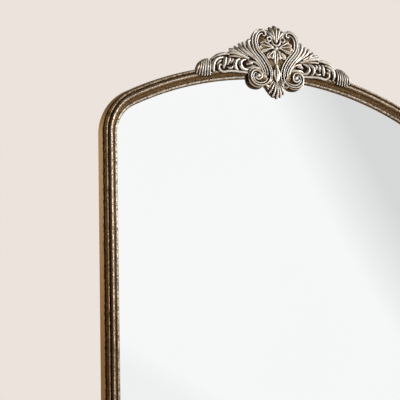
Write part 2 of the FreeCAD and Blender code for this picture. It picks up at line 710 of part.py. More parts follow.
def wing_leaves():
    """Leaf ribs of the right-hand wing, from the cartouche outwards. They follow the arch."""
    top_leaf = [
        ((62.0, 39.0), (112.0, 57.0), 4.5),
        ((102.0, 55.0), (149.0, 46.0), 4.5),
        ((56.0, 33.5), (108.0, 47.0), 4.5),
    ]
    inner_scroll = [
        ((70.0, 14.0), (82.0, 26.0), 3.5),
        ((82.0, 22.0), (70.0, 39.5), 3.5),
        ((84.0, 13.5), (92.0, 30.5), 3.5),
        ((92.0, 24.5), (77.0, 44.5), 3.5),
    ]
    stem = [
        ((64.0, 9.0), (122.0, 15.0), 3.2),
        ((117.0, 13.5), (132.0, 28.0), 3.2),
        ((132.0, 24.0), (121.0, 35.0), 3.2),
    ]
    lobed_leaf = [
        ((98.0, 40.0), (106.0, 25.5), 3.5),
        ((104.0, 43.0), (111.0, 23.0), 3.8),
        ((111.0, 46.0), (119.0, 19.5), 4.2),
    ]
    outer_scroll = [
        ((115.0, 44.5), (141.0, 37.0), 4.0),
        ((141.0, 42.0), (139.0, 14.5), 4.0),
        ((119.0, 40.5), (136.0, 31.0), 3.2),
        ((136.0, 35.0), (134.0, 16.5), 3.2),
    ]
    ribs = top_leaf + inner_scroll + stem + lobed_leaf + outer_scroll + end_fan()
    spans = [(on_arch(*base), on_arch(*tip), swell) for base, tip, swell in ribs]
    return lobes(spans, WING_LEVEL)


def end_fan():
    """Slanting ribs that close the wing's outer end and wrap over the moulding."""
    spans = []
    for index in range(END_RIBS):
        share = index / (END_RIBS - 1)
        top = (145.0 + 25.0 * share, 42.0 + 10.0 * share - 14.0 * share ** 2)
        foot = (147.0 + 29.5 * share, 10.3 - 5.3 * share + 14.6 * share ** 2)
        spans.append((top, foot, END_RIB_SWELL))
    return spans


def crest_wing(head_rail):
    """The right-hand wing casting, cut to sit on the moulding and beside the cartouche."""
    front_level = SCROLL_LEVEL + SCROLL_TUBE
    room = cartouche_body(front_level, CASTING_GAP) + [frond_plate(front_level, CASTING_GAP)] + side_fronds()
    wing = fused([wing_ground()] + wing_leaves()).cut([head_rail] + room)
    return max(wing.Solids, key=lambda solid: solid.Volume)


def screw_places():
    """Every screw, by node: (across, up, seat level, length, pieces that it goes through)."""
    button_seat = -(2 * BUTTON_PLAY + BUTTON_THICKNESS)
    strap_seat = -2 * STRAP_SHEET
    places = {"turn_button_screws": [], "hanger_screws": [], "crest_strap_screws": [],
              "cartouche_screws": [], "wing_screws": []}
    for _, rail, pivot, _ in button_places():
        places["turn_button_screws"].append((pivot.x, pivot.z, button_seat, SHORT_SCREW, [rail]))
    for side, sign in SIDES:
        for drop in STRAP_SCREW_DROPS:
            hole = (sign * HANGER_ACROSS, BAR_UP - drop, strap_seat, SHORT_SCREW, [side + "_stile"])
            places["hanger_screws"].append(hole)
        for up in crest_strap_heights():
            piece = "crest_block" if up > TOP else "head_rail"
            hole = (sign * CREST_STRAP_SPREAD / 2, up, -CREST_STRAP_SHEET, SHORT_SCREW, [piece])
            places["crest_strap_screws"].append(hole)
        hole = (sign * CARTOUCHE_SCREW_SPREAD / 2, TOP + CARTOUCHE_SCREW_RISE, 0.0,
                CARTOUCHE_GROUND - SCREW_COVER, ["crest_block", "crest_cartouche"])
        places["cartouche_screws"].append(hole)
        for across in WING_SCREWS_ACROSS:
            angle = crown_angle(sign * across, WING_SCREW_INSET)
            spot = outward(angle) * (CROWN_RADIUS - WING_SCREW_INSET)
            hole = (spot.x, CROWN_CENTRE[1] + spot.z, 0.0, WING_GROUND - SCREW_COVER,
                    ["head_rail", f"crest_{side}_wing"])
            places["wing_screws"].append(hole)
    return places


def build():
    """Every node of the part, as one solid or a group of separate solids."""
    nodes = frame_rails()
    wing = crest_wing(nodes["head_rail"])
    nodes["crest_cartouche"] = crest_cartouche(nodes["head_rail"])
    nodes["crest_right_wing"] = wing
    nodes["crest_left_wing"] = mirrored(wing)
    nodes["crest_block"] = crest_block(nodes["head_rail"])
    nodes["frame_dowels"] = Part.makeCompound(add_dowels(nodes))
    nodes["mirror_glass"] = panel(REBATE_INSET + GLASS_CLEARANCE, GLASS_BACK, GLASS_THICKNESS)
    nodes["foam_sheet"] = panel(REBATE_INSET + FOAM_CLEARANCE, FOAM_BACK, FOAM_THICKNESS)
    nodes["back_board"] = panel(REBATE_INSET + BOARD_CLEARANCE, 0.0, FOAM_BACK)
    nodes["glass_setting_blocks"] = Part.makeCompound(setting_blocks())
    nodes["crest_straps"] = Part.makeCompound([crest_strap(sign) for _, sign in SIDES])
    for side, sign in SIDES:
        nodes[side + "_d_ring"] = d_ring(sign)
        nodes[side + "_hanger_strap"] = hanger_strap(sign)
        nodes[side + "_wall_bumper"] = wall_bumper(sign)
    for name, _, pivot, points in button_places():
        nodes[name] = turn_button(pivot, points)
    for group, holes in screw_places().items():
        screws = []
        for across, up, seat_level, length, pieces in holes:
            screws.append(screw(across, up, seat_level, length))
            for piece in pieces:
                nodes[piece] = nodes[piece].cut(pilot(across, up, seat_level, length, seat_level))
        nodes[group] = Part.makeCompound(screws)
    return nodes


def export(nodes):
    os.makedirs("parts", exist_ok=True)
    for name, shape in sorted(nodes.items()):
        solids = shape.Solids
        whole = solids[0] if len(solids) == 1 else Part.makeCompound(solids)
        whole.exportStep("parts/" + name + ".step")


export(build())
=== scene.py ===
"""Looks of the arched wall mirror: gilt moulding, carved crest, silvered glass and the hardware behind."""

import json
import math

import bpy
import numpy as np
from mathutils import Euler, Matrix, Vector
from mathutils.kdtree import KDTree


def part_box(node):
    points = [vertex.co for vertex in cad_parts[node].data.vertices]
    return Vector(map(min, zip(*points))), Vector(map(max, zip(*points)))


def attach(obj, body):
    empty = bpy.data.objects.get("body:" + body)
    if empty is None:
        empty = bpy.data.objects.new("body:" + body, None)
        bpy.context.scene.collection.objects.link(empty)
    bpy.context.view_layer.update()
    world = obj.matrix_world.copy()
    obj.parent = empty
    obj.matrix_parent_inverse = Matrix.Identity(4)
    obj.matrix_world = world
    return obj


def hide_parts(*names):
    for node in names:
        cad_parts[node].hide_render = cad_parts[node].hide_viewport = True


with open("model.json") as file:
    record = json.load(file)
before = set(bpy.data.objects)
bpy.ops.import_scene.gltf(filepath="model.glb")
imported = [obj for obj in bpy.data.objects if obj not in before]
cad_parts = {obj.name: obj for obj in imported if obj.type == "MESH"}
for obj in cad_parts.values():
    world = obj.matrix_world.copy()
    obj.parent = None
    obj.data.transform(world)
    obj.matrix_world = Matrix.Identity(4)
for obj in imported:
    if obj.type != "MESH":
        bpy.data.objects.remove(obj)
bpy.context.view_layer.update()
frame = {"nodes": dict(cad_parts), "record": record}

MM = 0.001

# Sizes of the frame, in metres
CROWN_RADIUS = 0.705
SHOULDER_RADIUS = 0.105
CORNER_RADIUS = 0.060
MOULDING_WIDTH = 0.0345
FRAME_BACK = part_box("head_rail")[1].y
FRAME_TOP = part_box("head_rail")[1].z
FRAME_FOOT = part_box("bottom_rail")[0].z
HALF_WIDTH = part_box("right_stile")[1].x
SIGHT_TOP = FRAME_TOP - MOULDING_WIDTH
CROWN_UP = FRAME_TOP - CROWN_RADIUS
SHOULDER_ACROSS = HALF_WIDTH - SHOULDER_RADIUS
SHOULDER_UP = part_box("right_stile")[1].z
CORNER_ACROSS = HALF_WIDTH - CORNER_RADIUS
CORNER_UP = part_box("right_stile")[0].z

# Carving, in millimetres. Points are (across, up) from the top of the sight edge on the centreline,
# and levels are measured forward from the back of the frame.
CASTING_BACK = 28.0
UNDERCUT = 40.0                # back of the ridges that overhang the plate behind them
HEART_GROUND = 48.5
PALMETTE_GROUND = 43.0
SHELL_GROUND = 45.0
FROND_GROUND = 43.0
VOLUTE_GROUND = 49.0
WING_GROUND = 38.0
PETAL_LEVEL = 52.0
LANCE_LEVEL = 52.5
VOLUTE_EYE = ((44, -2), 6.0, 57.0)        # centre, radius and level of its top
FLOWER_EYE = ((0, 60.5), 5.5, 55.0)
TRUNK_OFFSET = 10.2            # the first frond's trunk, beside the scroll band
TRUNK_PITCH = 4.6              # from one trunk to the next
TRUNKS = 2                     # fronds that start along the scroll band
WING_END_RIBS = 6
WING_FULLNESS = 1.25           # how much broader the leaves are than their drawn half widths

# Skin of the castings
VOXEL = 0.7 * MM
SMOOTHING = 0.5
CARTOUCHE_KEPT = 0.36          # share of the faces kept when the skin is thinned
WING_KEPT = 0.6
FINE_REACH = 10                # rounds of averaging behind the fine relief
DEEP_REACH = 80                # rounds of averaging behind the broad relief
FINE_RELIEF = 2.0 * MM         # height that takes the relief through its whole range
DEEP_RELIEF = 30.0 * MM
LOWEST_DEEP = -8 * MM          # limits of the broad relief
HIGHEST_DEEP = 3 * MM
WALL_FROM = 0.5                # forward part of a normal below which a face starts to count as a wall
WALL_BLEND = 0.3
BACKWARD_FACE = 0.02           # backward part of a normal from which a face is drawn back
FLAT_RELIEF = 0.5              # relief of a level surface

# Camera, as in the photograph
CAMERA_PLACE = (-1.0392, -2.3067, -0.4541)
CAMERA_YAW = math.radians(20.866)
CAMERA_PITCH = math.radians(9.343)
CAMERA_ROLL = math.radians(-1.376)
CAMERA_LENS = 108.0
SENSOR_WIDTH = 36.0
CAMERA_REACH = 50.0

# Room. A range is where the light changes, along an axis that a direction is measured on.
WALL_COLOUR = (0.831, 0.768, 0.716, 1.0)
DIM_ROOM = 0.06                # the room's darker sides, as the metal shows them
PALE_ROOM = 0.90               # the wall behind and the ceiling
SLANT_AXIS = (0.896, 0.0, 0.444)
SLANT_RANGE = (0.467, 0.513)
SLANT_LIGHT = (0.96, 0.705)
LOW_AXIS = (0.539, 0.0, 0.842)
LOW_RANGE = (0.180, 0.200)
LOW_LIGHT = (0.936, 1.0)
FRONT_AXIS = (0.79, -0.60, 0.10)
FRONT_RANGE = (0.45, 0.80)
BEHIND_RANGE = (0.0, 0.3)
CEILING_RANGE = (0.80, 0.95)
WINDOW = (0.86, -0.48, 0.15)   # where the light comes in, to the right of the camera
WINDOW_RANGE = (0.90, 0.96)
WINDOW_LIGHT = 4.0
LAMPS = (                      # name, place, size and power
    ("key_lamp", (2.3, -2.0, 1.2), 2.0, 40.0),
    ("fill_lamp", (-1.9, -2.3, 1.0), 1.6, 10.0),
    ("back_lamp", (0.4, 2.4, 1.6), 2.0, 26.0),
)
FLOOR_SIZE = 16
FLOOR_DROP = 0.001             # under the foot of the frame


# Shader helpers

def finish(name):
    """A new material with its node tree and its shader."""
    material = bpy.data.materials.new(name)
    material.use_nodes = True
    return material, material.node_tree, material.node_tree.nodes["Principled BSDF"]


def node(tree, kind, inputs=None, **settings):
    """A shader node. Inputs are numbers, colours or the sockets that feed them."""
    made = tree.nodes.new(kind)
    for key, value in settings.items():
        setattr(made, key, value)
    for key, value in (inputs or {}).items():
        if isinstance(value, bpy.types.NodeSocket):
            tree.links.new(value, made.inputs[key])
        else:
            made.inputs[key].default_value = value
    return made


def object_place(tree):
    """Where a point is, in the space of its object."""
    return node(tree, "ShaderNodeTexCoord").outputs["Object"]


def facing(tree):
    """The parts of the surface's normal, in the space of its object."""
    normal = node(tree, "ShaderNodeTexCoord").outputs["Normal"]
    return node(tree, "ShaderNodeSeparateXYZ", {0: normal}).outputs


def stretched(tree, place, scale):
    """A place scaled by axis, for grain and brushing."""
    return node(tree, "ShaderNodeMapping", {"Vector": place, "Scale": scale}).outputs[0]


def noise(tree, scale, detail=3.0, place=None):
    """Noise in object space, about one blotch every 1/scale metres."""
    inputs = {"Scale": scale, "Detail": detail, "Vector": place or object_place(tree)}
    return node(tree, "ShaderNodeTexNoise", inputs).outputs["Fac"]


def spread(tree, value, low, high, to_low=0.0, to_high=1.0):
    """A value carried from one range to another and kept inside it."""
    inputs = {"Value": value, "From Min": low, "From Max": high, "To Min": to_low, "To Max": to_high}
    return node(tree, "ShaderNodeMapRange", inputs).outputs["Result"]


def math_of(tree, operation, first, second):
    """Two values put together by an operation."""
    return node(tree, "ShaderNodeMath", {0: first, 1: second}, operation=operation).outputs[0]


def vector_math(tree, operation, first, second=None, output=0):
    """One or two vectors put through an operation."""
    inputs = {0: first} if second is None else {0: first, 1: second}
    return node(tree, "ShaderNodeVectorMath", inputs, operation=operation).outputs[output]


def ramp(tree, value, stops):
    """Colours along a value, from (place, colour) stops."""
    made = node(tree, "ShaderNodeValToRGB", {"Fac": value})
    elements = made.color_ramp.elements
    while len(elements) < len(stops):
        elements.new(1.0)
    for element, (place, colour) in zip(elements, stops):
        element.position = place
        element.color = (*colour, 1.0)
    return made.outputs["Color"]


def mix(tree, share, first, second, blend="MIX"):
    """One colour over another by a share. A colour mix has its colours in inputs 6 and 7 and output 2."""
    made = node(tree, "ShaderNodeMix", data_type="RGBA", blend_type=blend)
    for socket, value in ((made.inputs[0], share), (made.inputs[6], first), (made.inputs[7], second)):
        if isinstance(value, bpy.types.NodeSocket):
            tree.links.new(value, socket)
        elif isinstance(value, tuple):
            socket.default_value = (*value, 1.0)
        else:
            socket.default_value = value
    return made.outputs[2]


def bump(tree, shader, height, distance, strength=0.5):
    """Fine unevenness of the surface."""
    made = node(tree, "ShaderNodeBump", {"Height": height, "Distance": distance, "Strength": strength})
    tree.links.new(made.outputs["Normal"], shader.inputs["Normal"])


# Colours of the finishes

# black-brown of the glaze, also used as painted shade in hollows, grooves and on walls
GLAZE_AND_SHADE = (0.016, 0.007, 0.002)
BROWN_GILT = (0.31, 0.185, 0.085)
OLIVE_GILT = (0.17, 0.098, 0.040)
RED_BOLE = (0.085, 0.040, 0.016)
UMBER = (0.23, 0.150, 0.088)
# side face colour, lightened beyond the gilding's own as painted light
LIT_SIDE_GILT = (0.60, 0.38, 0.20)
# side face colour where it turns upward, as painted shade
SHADED_SIDE_BROWN = (0.14, 0.095, 0.072)
CHAMPAGNE = (0.36, 0.27, 0.165)
PALE_LEAF = (0.66, 0.57, 0.43)
PEWTER = (0.93, 0.885, 0.81)
# dark brown of the castings' walls, partly gilding and partly painted shade
WALL_GILT_AND_SHADE = (0.13, 0.080, 0.040)
WARM_GILT = (0.62, 0.43, 0.28)
EDGE_TINT = (0.55, 0.43, 0.30, 1.0)
PALE_PINE = (0.36, 0.23, 0.12)
DARK_PINE = (0.2, 0.115, 0.055)
PALE_BEECH = (0.51, 0.30, 0.135)
DARK_BEECH = (0.40, 0.22, 0.09)
PALE_STAIN = (0.052, 0.028, 0.013)
DARK_STAIN = (0.026, 0.013, 0.006)
PALE_BOARD = (0.215, 0.120, 0.058)
DARK_BOARD = (0.168, 0.090, 0.043)
BOARD_FLECK = (0.085, 0.045, 0.022)
DIM_SILVER = (0.955, 0.965, 0.962)
CLEAR_SILVER = (0.962, 0.970, 0.968)
PALE_FOAM = (0.83, 0.83, 0.80)
DARK_FOAM = (0.70, 0.70, 0.67)
PALE_RUBBER = (0.030, 0.029, 0.028)
DARK_RUBBER = (0.014, 0.014, 0.014)
BRASS = (0.56, 0.37, 0.13)
DULL_BRASS = (0.34, 0.20, 0.07)
ZINC = (0.56, 0.57, 0.58)
DULL_ZINC = (0.40, 0.40, 0.39)
PALE_FLOOR = (0.78, 0.75, 0.72)
DARK_FLOOR = (0.74, 0.71, 0.68)

# Gilding of the moulding. Insets are shares of its width, from the outer edge, and a scale is how many
# blotches of a noise there are to a metre.
MOST_NOISE = (0.3, 0.7)        # where nearly all of a noise lies
BAND_SCALE = 120.0
BAND_WANDER = 0.018
SPECK_SCALE = 400.0
SPECK_RANGE = (0.46, 0.57)
PATCH_SCALE = 90.0
PATCH_RANGE = (0.38, 0.68)
LEAST_WORN = 0.5               # wear outside the patches
SIDE_WEAR = 0.25               # wear on the side face
SIDE_WEAR_END = (0.09, 0.13)
BOLE_SHARE = 0.85
# painted shade: the gilding is browned towards the foot, where the highlight on the beads falls off
HIGHLIGHT_FALLOFF = (0.0, -0.35)       # heights between which the gilding turns browner
HIGHLIGHT_FALLOFF_SHARE = 0.55
SIDE_END = (0.10, 0.14)
# painted shade on the side face where it turns upward
SIDE_SHADE_TURN = (0.05, 0.55)       # upward part of the side face's normal
SIDE_SHADE_SHARE = 0.85
BEAD_OUTER = (0.19, 0.24)      # the two flanks of the outer bead
BEAD_INNER = (0.27, 0.31)
# heights from which the outer bead gets its painted highlight, along the arch
ARCH_FROM = (SHOULDER_UP + 0.04, SHOULDER_UP + 0.10)
BEAD_WORN_OUT = 0.6
BACK_FACE = (0.5, 0.9)         # backward part of a normal, from gilding to bare wood
BACK_GRAIN = (160.0, 160.0, 14.0)
WORN_METAL = (1.0, 0.7)        # from whole leaf to rubbed through
WORN_ROUGHNESS = (0.32, 0.60)
WORN_DEPTH = 0.4 * MM
WORN_STRENGTH = 0.8

# Gilding of the castings. The relief runs from 0 in the hollows to 1 on the ridges. Its colours are partly
# painted shade in the hollows and painted highlight on the ridges.
LEAF_SCALE = 420.0
LEAF_WANDER = 0.06
# painted shade on the castings' upward faces
UPWARD_SHADE_TURN = (0.25, 0.75)       # upward part of a normal
UPWARD_SHADE_LOSS = -0.45
# painted shade deep in the wings, darker the further back a surface lies
SUNKEN = (FRAME_BACK - 44 * MM, FRAME_BACK - 36 * MM)
SUNKEN_SHADE_LOSS = -0.18
LEAF_STOPS = [
    (0.0, GLAZE_AND_SHADE), (0.28, GLAZE_AND_SHADE), (0.36, OLIVE_GILT), (0.42, CHAMPAGNE), (0.48, PALE_LEAF),
    (0.62, PEWTER),
]
WARM_SCALE = 75.0
WARM_PATCHES = (0.44, 0.64)
WARM_SHARE = 0.5
WALL_SCALE = 260.0
METAL_RELIEF = (0.26, 0.40)    # relief between which the glaze gives way to metal
LEAF_METAL = (0.2, 1.0)
POLISH_RELIEF = (0.30, 0.70)   # relief between which the leaf gets smoother
LEAF_ROUGHNESS = (0.50, 0.26)
PORE_SCALE = 900.0
PORE_DEPTH = 0.06 * MM
PORE_STRENGTH = 0.4

# The other finishes
GRAIN_RANGE = (0.35, 0.65)     # where a grain turns from one colour to the other
HAZE_SCALE = 3.0
GLASS_ROUGHNESS = (0.012, 0.022)
WOOD_ROUGHNESS = (0.5, 0.72)
WOOD_DEPTH = 0.15 * MM
FIBRE_SCALE = 700.0
FIBRE_DEPTH = 0.1 * MM
CLOUD_SCALE = 14.0
FLECK_RANGE = (0.60, 0.72)
BOARD_ROUGHNESS = (0.48, 0.70)
BRUSHING = (2600.0, 300.0, 300.0)
BRUSH_SMOOTHER = 0.08          # how far the streaks lie under and over a metal's roughness
BRUSH_ROUGHER = 0.12
BRUSH_DEPTH = 0.03 * MM
BRUSH_STRENGTH = 0.4
STAIN_SCALE = 190.0
STAIN_RANGE = (0.45, 0.75)
SOFT_ROUGHNESS = (0.88, 0.70)
FLOOR_SCALE = 5.0
FLOOR_ROUGHNESS = 0.8


# Finishes

def moulding_stops():
    """Colours across the moulding, from the side face in to the sight bead, as shares of its width."""
    # the dark band in the groove after the side face is partly painted shade
    side = [(0.0, LIT_SIDE_GILT), (3.2, LIT_SIDE_GILT), (3.9, GLAZE_AND_SHADE), (5.4, GLAZE_AND_SHADE)]
    outer_bead = [(7.0, BROWN_GILT), (8.8, WARM_GILT), (10.2, BROWN_GILT)]
    outer_cove = [(11.4, UMBER), (14.0, UMBER)]
    crown_bead = [(15.8, BROWN_GILT), (16.8, CHAMPAGNE), (18.0, PEWTER), (19.6, CHAMPAGNE)]
    inner_cove = [(20.8, BROWN_GILT), (24.0, BROWN_GILT), (26.0, OLIVE_GILT)]
    sight_bead = [
        (27.0, CHAMPAGNE), (28.4, PALE_LEAF), (30.4, PEWTER), (31.8, PALE_LEAF), (33.0, CHAMPAGNE),
        (34.0, OLIVE_GILT),
    ]
    bands = side + outer_bead + outer_cove + crown_bead + inner_cove + sight_bead
    return [(inset * MM / MOULDING_WIDTH, colour) for inset, colour in bands]


def moulding_inset(tree, place, centre, counted, reach):
    """How far a point lies in from the outer edge, as a share of the moulding's width.
    It is reach less the distance from a centre along the counted axes."""
    folded = vector_math(tree, "ABSOLUTE", place)
    offset = vector_math(tree, "SUBTRACT", folded, centre)
    across = vector_math(tree, "MULTIPLY", offset, counted)
    distance = vector_math(tree, "LENGTH", across, output="Value")
    return spread(tree, distance, reach, reach - MOULDING_WIDTH)


def moulding_wear(tree, place, inset):
    """Where the leaf is rubbed through: fine specks, more of them in patches and few on the side face."""
    specks = spread(tree, noise(tree, SPECK_SCALE, 4.0, place), *SPECK_RANGE)
    patches = spread(tree, noise(tree, PATCH_SCALE, 3.0, place), *PATCH_RANGE)
    worn = math_of(tree, "MULTIPLY", specks, spread(tree, patches, 0.0, 1.0, LEAST_WORN, 1.0))
    return math_of(tree, "MULTIPLY", worn, spread(tree, inset, *SIDE_WEAR_END, SIDE_WEAR, 1.0))


def moulding_colour(tree, place, inset, worn, upward):
    """Bands along the section, browner towards the foot as the painted highlight falls off, with painted
    shade on the side face where it turns upward and a painted highlight on the outer bead along the arch."""
    wander = spread(tree, noise(tree, BAND_SCALE, 2.0, place), *MOST_NOISE, -BAND_WANDER, BAND_WANDER)
    bands = ramp(tree, math_of(tree, "ADD", inset, wander), moulding_stops())
    gilded = mix(tree, worn, bands, mix(tree, BOLE_SHARE, bands, RED_BOLE))
    height = node(tree, "ShaderNodeSeparateXYZ", {0: place}).outputs["Z"]
    # painted shade towards the foot, standing in for a highlight that falls off
    dimmed = mix(tree, 1.0, gilded, BROWN_GILT, "MULTIPLY")
    gilded = mix(tree, spread(tree, height, *HIGHLIGHT_FALLOFF, 0.0, HIGHLIGHT_FALLOFF_SHARE), gilded, dimmed)
    side = spread(tree, inset, *SIDE_END, 1.0, 0.0)
    # painted shade on the side face where it turns upward
    upward_shade = math_of(tree, "MULTIPLY", side, spread(tree, upward, *SIDE_SHADE_TURN, 0.0, SIDE_SHADE_SHARE))
    gilded = mix(tree, upward_shade, gilded, SHADED_SIDE_BROWN)
    # painted highlight on the outer bead along the arch
    inside = spread(tree, inset, *BEAD_INNER, 1.0, 0.0)
    bead = math_of(tree, "MULTIPLY", spread(tree, inset, *BEAD_OUTER), inside)
    bead_highlight = math_of(tree, "MULTIPLY", bead, spread(tree, height, *ARCH_FROM))
    bead_highlight = math_of(tree, "MULTIPLY", bead_highlight, spread(tree, worn, 0.0, BEAD_WORN_OUT, 1.0, 0.0))
    return mix(tree, bead_highlight, gilded, PALE_LEAF)


def gilt_moulding(name, centre, counted, reach):
    """Gilding that follows the section, pale on the beads and dark in the grooves, and a bare back. The dark
    in the grooves is partly painted shade.
    """
    material, tree, shader = finish(name)
    place = object_place(tree)
    normal = facing(tree)
    inset = moulding_inset(tree, place, centre, counted, reach)
    worn = moulding_wear(tree, place, inset)
    gilded = moulding_colour(tree, place, inset, worn, normal["Z"])
    behind = spread(tree, normal["Y"], *BACK_FACE)
    grain = stretched(tree, place, BACK_GRAIN)
    bare = mix(tree, noise(tree, 1.0, 4.0, grain), PALE_PINE, DARK_PINE)
    tree.links.new(mix(tree, behind, gilded, bare), shader.inputs["Base Color"])
    front = spread(tree, behind, 0.0, 1.0, 1.0, 0.0)
    metal = math_of(tree, "MULTIPLY", spread(tree, worn, 0.0, 1.0, *WORN_METAL), front)
    tree.links.new(metal, shader.inputs["Metallic"])
    tree.links.new(spread(tree, worn, 0.0, 1.0, *WORN_ROUGHNESS), shader.inputs["Roughness"])
    shader.inputs["Specular Tint"].default_value = EDGE_TINT
    bump(tree, shader, worn, WORN_DEPTH, WORN_STRENGTH)
    return material


def relief_with_painted_shade(tree, place):
    """The castings' relief, lowered on upward faces and deep in the wings as painted shade."""
    relief = node(tree, "ShaderNodeAttribute", attribute_name="relief").outputs["Fac"]
    wander = spread(tree, noise(tree, LEAF_SCALE, 4.0, place), *MOST_NOISE, -LEAF_WANDER, LEAF_WANDER)
    # painted shade on upward faces
    upward_shade = spread(tree, facing(tree)["Z"], *UPWARD_SHADE_TURN, 0.0, UPWARD_SHADE_LOSS)
    backward = node(tree, "ShaderNodeSeparateXYZ", {0: place}).outputs["Y"]
    # painted shade on surfaces that lie deep
    sunken_shade = spread(tree, backward, *SUNKEN, 0.0, SUNKEN_SHADE_LOSS)
    return math_of(tree, "ADD", math_of(tree, "ADD", relief, wander), math_of(tree, "ADD", upward_shade, sunken_shade))


def gilt_carving():
    """Cast leaves: pale leaf on the high ridges, gold-brown walls and a black-brown glaze in the hollows;
    the hollows and walls are partly painted shade and the ridges partly painted highlight.
    """
    material, tree, shader = finish("gilt_carving")
    place = object_place(tree)
    shaded_relief = relief_with_painted_shade(tree, place)
    # painted shade in the hollows and painted highlight on the ridges, by the relief
    leaf = ramp(tree, shaded_relief, LEAF_STOPS)
    warm = spread(tree, noise(tree, WARM_SCALE, 2.0, place), *WARM_PATCHES, 0.0, WARM_SHARE)
    leaf = mix(tree, warm, leaf, mix(tree, 1.0, leaf, WARM_GILT, "MULTIPLY"))
    # faces turned sideways are painted dark: partly glaze, partly painted shade
    shaded_walls = mix(tree, noise(tree, WALL_SCALE, 3.0, place), GLAZE_AND_SHADE, WALL_GILT_AND_SHADE)
    wall = node(tree, "ShaderNodeAttribute", attribute_name="wall").outputs["Fac"]
    tree.links.new(mix(tree, wall, leaf, shaded_walls), shader.inputs["Base Color"])
    tree.links.new(spread(tree, shaded_relief, *METAL_RELIEF, *LEAF_METAL), shader.inputs["Metallic"])
    tree.links.new(spread(tree, shaded_relief, *POLISH_RELIEF, *LEAF_ROUGHNESS), shader.inputs["Roughness"])
    shader.inputs["Specular Tint"].default_value = EDGE_TINT
    bump(tree, shader, noise(tree, PORE_SCALE, 3.0, place), PORE_DEPTH, PORE_STRENGTH)
    return material


def silvered_glass():
    """Mirror glass, clean, with the faintest haze and unevenness."""
    material, tree, shader = finish("silvered_glass")
    shader.inputs["Metallic"].default_value = 1.0
    haze = noise(tree, HAZE_SCALE, 2.0)
    thin, thick = MOST_NOISE
    colour = ramp(tree, haze, [(thin, DIM_SILVER), (thick, CLEAR_SILVER)])
    tree.links.new(colour, shader.inputs["Base Color"])
    tree.links.new(spread(tree, haze, thin, thick, *GLASS_ROUGHNESS), shader.inputs["Roughness"])
    return material


def wood(name, pale, dark, grain_scale):
    """Timber with its grain along a piece."""
    material, tree, shader = finish(name)
    figure = noise(tree, 1.0, 5.0, stretched(tree, object_place(tree), grain_scale))
    tree.links.new(mix(tree, spread(tree, figure, *GRAIN_RANGE), pale, dark), shader.inputs["Base Color"])
    tree.links.new(spread(tree, figure, *MOST_NOISE, *WOOD_ROUGHNESS), shader.inputs["Roughness"])
    bump(tree, shader, figure, WOOD_DEPTH)
    return material


def fibreboard():
    """Smooth brown board with pressed fibres and a few darker flecks."""
    material, tree, shader = finish("fibreboard")
    place = object_place(tree)
    fibres = noise(tree, FIBRE_SCALE, 6.0, place)
    cloud = noise(tree, CLOUD_SCALE, 3.0, place)
    board = mix(tree, spread(tree, cloud, *MOST_NOISE), PALE_BOARD, DARK_BOARD)
    flecks = spread(tree, fibres, *FLECK_RANGE)
    tree.links.new(mix(tree, flecks, board, BOARD_FLECK), shader.inputs["Base Color"])
    tree.links.new(spread(tree, fibres, *MOST_NOISE, *BOARD_ROUGHNESS), shader.inputs["Roughness"])
    bump(tree, shader, fibres, FIBRE_DEPTH)
    return material


def plated_metal(name, colour, tarnish, roughness):
    """Plated steel with brushing and tarnish."""
    material, tree, shader = finish(name)
    place = object_place(tree)
    streaks = noise(tree, 1.0, 3.0, stretched(tree, place, BRUSHING))
    stain = spread(tree, noise(tree, STAIN_SCALE, 4.0, place), *STAIN_RANGE)
    shader.inputs["Metallic"].default_value = 1.0
    tree.links.new(mix(tree, stain, colour, tarnish), shader.inputs["Base Color"])
    smoothest = roughness - BRUSH_SMOOTHER
    roughest = roughness + BRUSH_ROUGHER
    brushed = spread(tree, streaks, *MOST_NOISE, smoothest, roughest)
    tree.links.new(brushed, shader.inputs["Roughness"])
    bump(tree, shader, streaks, BRUSH_DEPTH, BRUSH_STRENGTH)
    return material


def soft_matter(name, pale, dark, grain, depth):
    """Rubber or foam: matt, with a fine open grain."""
    material, tree, shader = finish(name)
    pores = noise(tree, grain, 4.0)
    tree.links.new(mix(tree, spread(tree, pores, *GRAIN_RANGE), dark, pale), shader.inputs["Base Color"])
    tree.links.new(spread(tree, pores, *MOST_NOISE, *SOFT_ROUGHNESS), shader.inputs["Roughness"])
    bump(tree, shader, pores, depth)
    return material


# Carving tools

def to_metres(across, up, level):
    """A carving point in the frame's space."""
    return Vector((across * MM, FRAME_BACK - level * MM, SIGHT_TOP + up * MM))


def eased(values, count):
    """A few values spread evenly over a number of points."""
    return np.interp(np.linspace(0, 1, count), np.linspace(0, 1, len(values)), values)


def beside(points, distance):
    """A line moved sideways, to the right of its own direction."""
    line = np.array(points, float)
    ahead = np.gradient(line, axis=0)
    ahead /= np.linalg.norm(ahead, axis=1)[:, None]
    shift = np.full(len(line), distance) if np.isscalar(distance) else eased(distance, len(line))
    return [tuple(p) for p in line + np.stack([ahead[:, 1], -ahead[:, 0]], axis=1) * shift[:, None]]


def ridges(name, strokes, back):
    """Rounded ridges with straight walls down to a level at their back.
    A stroke is (points, half widths, levels of its top)."""
    bpy.ops.object.select_all(action="DESELECT")
    bpy.ops.curve.primitive_bezier_curve_add()
    carving = bpy.context.object
    carving.name = name
    curve = carving.data
    curve.splines.clear()
    curve.resolution_u = 8
    curve.bevel_depth = MM
    curve.bevel_resolution = 3
    curve.use_fill_caps = True
    for points, widths, levels in strokes:
        spline = curve.splines.new("BEZIER")
        spline.bezier_points.add(len(points) - 1)
        for knot, point, width, level in zip(
            spline.bezier_points, points, eased(widths, len(points)), eased(levels, len(points))
        ):
            knot.co = to_metres(*point, level - width)
            knot.radius = width
            knot.handle_left_type = knot.handle_right_type = "AUTO"
    carving.location = (0, 0, 0)
    bpy.ops.object.convert(target="MESH")
    draw_back(carving, back)
    return carving


